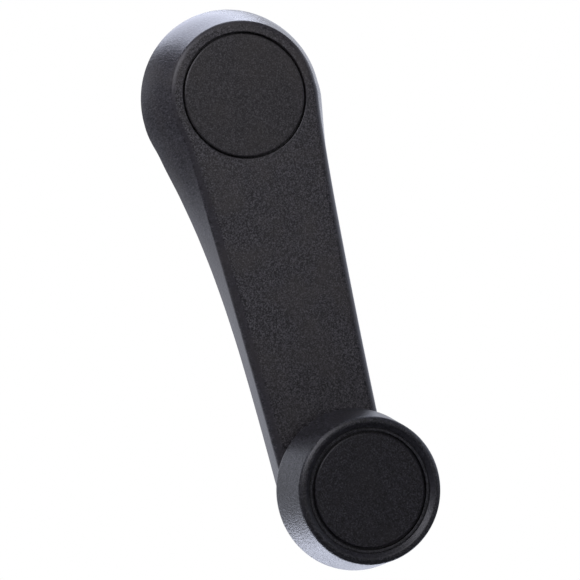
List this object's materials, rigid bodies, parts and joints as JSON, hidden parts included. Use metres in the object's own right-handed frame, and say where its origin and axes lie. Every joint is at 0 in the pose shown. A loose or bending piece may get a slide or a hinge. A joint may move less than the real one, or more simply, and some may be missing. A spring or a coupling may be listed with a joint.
{
  "type": "window winder handle",
  "caption": "Window winder handle: a tapered plastic arm with a splined metal hub under a snap-in head cover and a free-turning round knob.",
  "frame": {"origin": "on the spindle axis, in the plane on which the head's foot rim lies", "axes": "+Y along the spindle axis into the door, -Y towards the user, +Z from the knob towards the head, +X to the right as the user sees it"},
  "size_m": [0.0442, 0.0361, 0.136],
  "materials": {
    "grained_plastic": "fine spark-eroded grain",
    "cover_plastic": "fine spark-eroded grain",
    "knob_plastic": "satin, fine grain",
    "disc_plastic": "satin",
    "pressed_steel": "zinc plated sheet",
    "cast_zinc": "as cast",
    "fixing_steel": "bright plated",
    "nylon": "natural"
  },
  "bodies": {
    "handle": {"arm_shell": "grained_plastic", "core_plate": "pressed_steel", "spline_hub": "cast_zinc", "hub_washer": "fixing_steel", "hub_spring_washer": "fixing_steel", "hub_screw": "fixing_steel", "core_screw_1": "fixing_steel", "core_screw_2": "fixing_steel", "core_screw_3": "fixing_steel", "core_screw_4": "fixing_steel", "knob_pin": "fixing_steel", "pin_washer": "fixing_steel", "thrust_washer": "nylon", "wave_washer": "fixing_steel", "push_nut": "fixing_steel"},
    "cover": {"head_cap": "cover_plastic"},
    "knob": {"knob_sleeve": "knob_plastic", "knob_disc": "disc_plastic", "knob_bush_rear": "nylon", "knob_bush_front": "nylon"}
  },
  "joints": [
    {"name": "knob_spin", "type": "hinge", "parent": "handle", "child": "knob", "pos_m": [0.0021, 0, -0.095], "axis": [0, -1, 0], "continuous": true},
    {"name": "cap_lift", "type": "slide", "parent": "handle", "child": "cover", "axis": [0, -1, 0], "range_m": [0, 0.012]}
  ]
}
